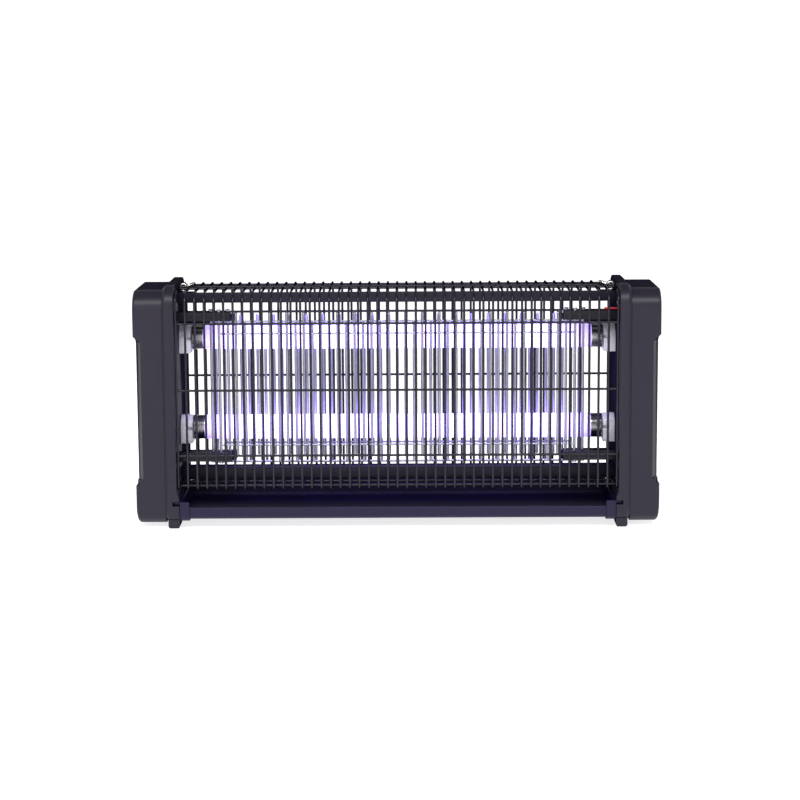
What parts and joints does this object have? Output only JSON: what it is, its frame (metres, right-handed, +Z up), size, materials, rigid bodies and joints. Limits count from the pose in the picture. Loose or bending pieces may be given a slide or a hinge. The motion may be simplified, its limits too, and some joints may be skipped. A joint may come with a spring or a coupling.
{
  "type": "electric bug zapper",
  "caption": "Free-standing or hung fly killer: two end housings, tie rails, twin UV lamps between high-voltage rod grids, wire guards front and rear, and a slide-out catch tray.",
  "frame": {"origin": "middle of the footprint, on the surface it stands on", "axes": "+X along the lamps towards the switch end, -Y the front, +Z up"},
  "size_m": [0.5494, 0.128, 0.256],
  "materials": {
    "housing": "satin charcoal moulded ABS",
    "insulator": "black moulded plastic",
    "pale_plastic": "off-white moulded plastic",
    "guard_paint": "black satin enamel on steel wire",
    "rail_paint": "dark grey enamel on sheet steel",
    "grid_steel": "bright drawn steel",
    "lamp_glass": "white phosphor-coated tube, lit violet-white",
    "lamp_cap": "pressed aluminium",
    "chrome": "bright nickel plate",
    "screw_zinc": "zinc plated",
    "ballast_paint": "white enamelled sheet steel",
    "core_steel": "varnished steel laminations and coil",
    "lead_sleeve": "red PVC sleeve"
  },
  "bodies": {
    "root": {"left_end_cap": "housing", "left_end_frame": "housing", "left_hanging_eye": "chrome", "upper_left_cap_screw": "screw_zinc", "upper_left_rail_screw": "screw_zinc", "upper_left_holder": "pale_plastic", "front_left_upper_arm": "insulator", "rear_left_upper_arm": "insulator", "lower_left_cap_screw": "screw_zinc", "lower_left_rail_screw": "screw_zinc", "lower_left_holder": "pale_plastic", "front_left_lower_arm": "insulator", "rear_left_lower_arm": "insulator", "right_end_cap": "housing", "right_end_frame": "housing", "right_hanging_eye": "chrome", "upper_right_cap_screw": "screw_zinc", "upper_right_rail_screw": "screw_zinc", "upper_right_holder": "pale_plastic", "front_right_upper_arm": "insulator", "rear_right_upper_arm": "insulator", "lower_right_cap_screw": "screw_zinc", "lower_right_rail_screw": "screw_zinc", "lower_right_holder": "pale_plastic", "front_right_lower_arm": "insulator", "rear_right_lower_arm": "insulator", "front_guard": "guard_paint", "front_guard_cross_frame": "guard_paint", "front_live_grid": "grid_steel", "front_return_grid": "grid_steel", "rear_guard": "guard_paint", "rear_guard_cross_frame": "guard_paint", "rear_live_grid": "grid_steel", "rear_return_grid": "grid_steel", "top_rail": "rail_paint", "bottom_rail": "rail_paint", "ballast": "ballast_paint", "grid_transformer": "core_steel", "terminal_block": "pale_plastic", "switch_housing": "insulator", "cord_gland": "insulator", "live_lead": "lead_sleeve"},
    "tray": {"collection_tray": "housing", "left_tray_end": "housing", "right_tray_end": "housing"},
    "left_ring": {"left_hanging_ring": "chrome"},
    "right_ring": {"right_hanging_ring": "chrome"},
    "rocker": {"switch_rocker": "insulator"},
    "upper_lamp": {"upper_lamp_tube": "lamp_glass", "upper_left_lamp_cap": "lamp_cap", "upper_left_rotor": "pale_plastic", "upper_right_lamp_cap": "lamp_cap", "upper_right_rotor": "pale_plastic"},
    "lower_lamp": {"lower_lamp_tube": "lamp_glass", "lower_left_lamp_cap": "lamp_cap", "lower_left_rotor": "pale_plastic", "lower_right_lamp_cap": "lamp_cap", "lower_right_rotor": "pale_plastic"}
  },
  "joints": [
    {"name": "tray_slide", "type": "slide", "parent": "root", "child": "tray", "axis": [0, -1, 0], "range_m": [0, 0.1]},
    {"name": "left_ring_swing", "type": "hinge", "parent": "root", "child": "left_ring", "pos_m": [-0.2262, -0.0053, 0.2496], "axis": [0, -1, 0], "range_deg": [0, 95]},
    {"name": "right_ring_swing", "type": "hinge", "parent": "root", "child": "right_ring", "pos_m": [0.2262, -0.0053, 0.2496], "axis": [0, 1, 0], "range_deg": [0, 95]},
    {"name": "upper_lamp_turn", "type": "hinge", "parent": "root", "child": "upper_lamp", "pos_m": [0, 0, 0.196], "axis": [1, 0, 0], "range_deg": [0, 90]},
    {"name": "lower_lamp_turn", "type": "hinge", "parent": "root", "child": "lower_lamp", "pos_m": [0, 0, 0.099], "axis": [1, 0, 0], "range_deg": [0, 90]},
    {"name": "switch_rock", "type": "hinge", "parent": "root", "child": "rocker", "pos_m": [0.2536, 0.0625, 0.19], "axis": [1, 0, 0], "range_deg": [-16, 0]}
  ]
}
